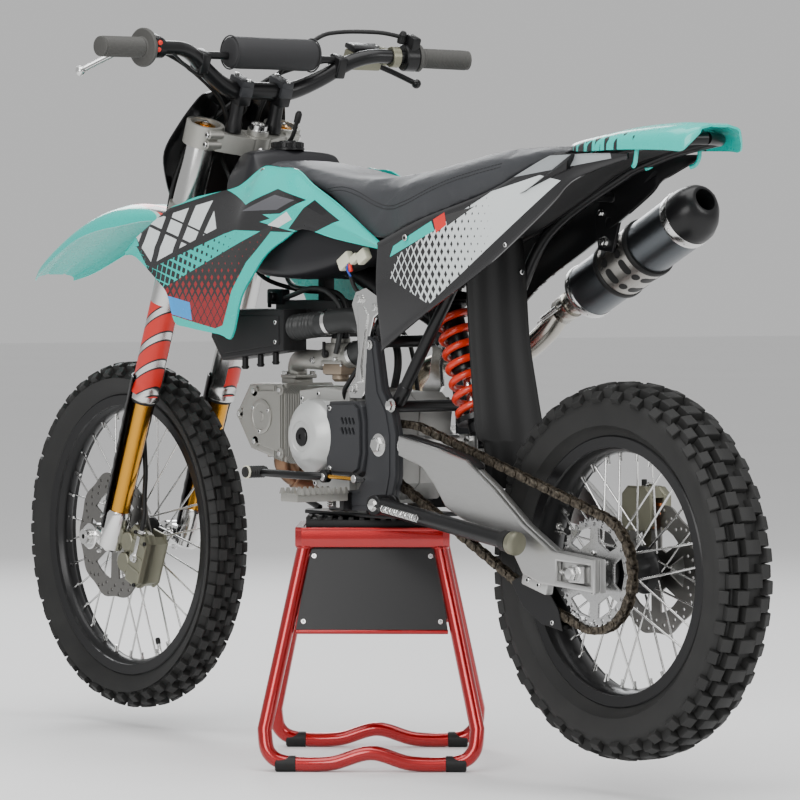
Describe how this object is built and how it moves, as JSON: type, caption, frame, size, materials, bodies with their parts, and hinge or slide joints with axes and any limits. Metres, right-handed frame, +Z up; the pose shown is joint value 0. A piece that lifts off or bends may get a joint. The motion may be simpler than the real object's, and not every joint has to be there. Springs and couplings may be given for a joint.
{
  "type": "small off-road motorcycle on a paddock stand",
  "caption": "Small dirt bike with turquoise bodywork, turning wheels and steering and a folding side stand, resting on a red paddock stand.",
  "frame": {"origin": "on the floor, under the middle of the box that holds the bike and its stand", "axes": "+X forward in the direction of travel, +Y to the rider's left, +Z up"},
  "size_m": [1.795, 0.7116, 1.1263],
  "materials": {
    "tyre_rubber": "matt",
    "black_rim": "gloss",
    "bright_steel": "satin",
    "polished_alloy": "polished",
    "gold_tube": "satin anodised",
    "black_plastic": "gloss",
    "cast_alloy": "cast",
    "engine_grey": "satin",
    "black_metal": "satin",
    "pad_cover": "matt",
    "grip_rubber": "matt",
    "turquoise_plastic": "gloss",
    "olive_alloy": "satin anodised",
    "black_rubber": "satin",
    "titanium_grey": "satin",
    "seat_cover": "grained",
    "red_steel": "gloss",
    "raw_alloy": "brushed",
    "chain_steel": "worn",
    "red_paint": "metallic gloss"
  },
  "bodies": {
    "chassis": {"control_cables": "black_rubber", "main_frame": "black_metal", "frame_plates": "black_metal", "engine_brackets": "polished_alloy", "subframe": "black_metal", "engine_guard": "black_metal", "crankcase": "engine_grey", "engine_cylinder": "cast_alloy", "cylinder_head": "cast_alloy", "engine_covers": "engine_grey", "carburettor": "cast_alloy", "intake_hose": "black_rubber", "airbox": "black_plastic", "exhaust_header": "bright_steel", "muffler": "titanium_grey", "fuel_tank": "black_plastic", "tank_cap": "black_plastic", "seat": "seat_cover", "shrouds": "turquoise_plastic", "side_panels": "black_plastic", "rear_fender": "turquoise_plastic", "inner_fender": "black_plastic", "mud_flap": "black_rubber", "shock_absorber": "red_steel", "swingarm": "raw_alloy", "chain": "chain_steel", "chain_guide": "black_plastic", "rear_caliper": "olive_alloy", "foot_controls": "cast_alloy", "paddock_stand": "red_paint"},
    "steering": {"fork_upper_tubes": "polished_alloy", "fork_lower_legs": "gold_tube", "fork_guards": "black_plastic", "upper_clamp": "cast_alloy", "lower_clamp": "cast_alloy", "front_axle": "bright_steel", "handlebar": "black_metal", "bar_clamps": "black_metal", "bar_pad": "pad_cover", "grips": "grip_rubber", "hand_controls": "black_metal", "front_fender": "turquoise_plastic", "number_plate": "black_plastic", "front_caliper": "olive_alloy", "front_brake_hose": "black_rubber"},
    "front_wheel": {"front_tyre": "tyre_rubber", "front_rim": "black_rim", "front_spokes": "bright_steel", "front_hub": "black_rim", "front_brake_disc": "bright_steel"},
    "rear_wheel": {"rear_tyre": "tyre_rubber", "rear_rim": "black_rim", "rear_spokes": "bright_steel", "rear_hub": "black_rim", "rear_brake_disc": "bright_steel", "rear_sprocket": "bright_steel"},
    "side_stand": {"side_stand": "black_metal"}
  },
  "joints": [
    {"name": "steering", "type": "hinge", "parent": "chassis", "child": "steering", "pos_m": [0.2721, 0, 0.95704], "axis": [-0.3697, 0, 0.9291], "range_deg": [-36, 36], "deforming": ["control_cables"]},
    {"name": "front_wheel_spin", "type": "hinge", "parent": "steering", "child": "front_wheel", "pos_m": [0.6145, 0, 0.313], "axis": [0, 1, 0], "continuous": true},
    {"name": "rear_wheel_spin", "type": "hinge", "parent": "chassis", "child": "rear_wheel", "pos_m": [-0.6305, 0, 0.318], "axis": [0, 1, 0], "continuous": true},
    {"name": "side_stand", "type": "hinge", "parent": "chassis", "child": "side_stand", "pos_m": [-0.1945, 0.113, 0.397], "axis": [0.12, -0.9928, 0], "range_deg": [0, 88]}
  ]
}
